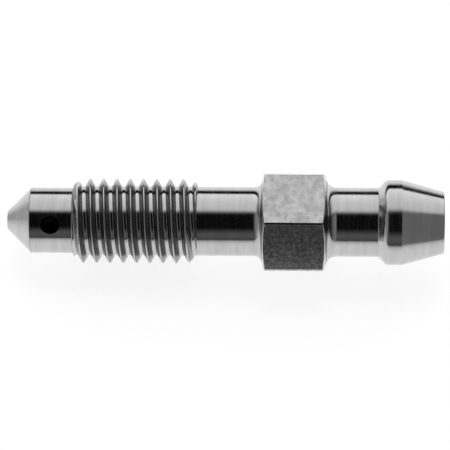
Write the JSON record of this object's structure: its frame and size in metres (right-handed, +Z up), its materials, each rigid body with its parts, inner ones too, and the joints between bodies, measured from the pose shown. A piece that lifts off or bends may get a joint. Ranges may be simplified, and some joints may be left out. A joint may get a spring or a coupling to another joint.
{
  "type": "bleeder screw",
  "caption": "Hollow bleeder screw lying on its side: 90 degree sealing cone, cross-drilled dog, coarse right-hand thread, hexagon and a tapered hose nipple.",
  "frame": {"origin": "middle of the footprint, on the surface that the screw lies on", "axes": "+X along the screw from the nose towards the hose nipple, +Z up; the screw rests on one hexagon flat's edge and on its first full thread crest, so its axis rises towards +X by about 1.7 degrees"},
  "size_m": [0.0412, 0.0104, 0.0092],
  "materials": {
    "plated_steel": "bright neutral plating over turned steel, with fine turning marks and slightly mottled flats"
  },
  "bodies": {
    "root": {"bleeder_screw": "plated_steel"}
  },
  "joints": []
}
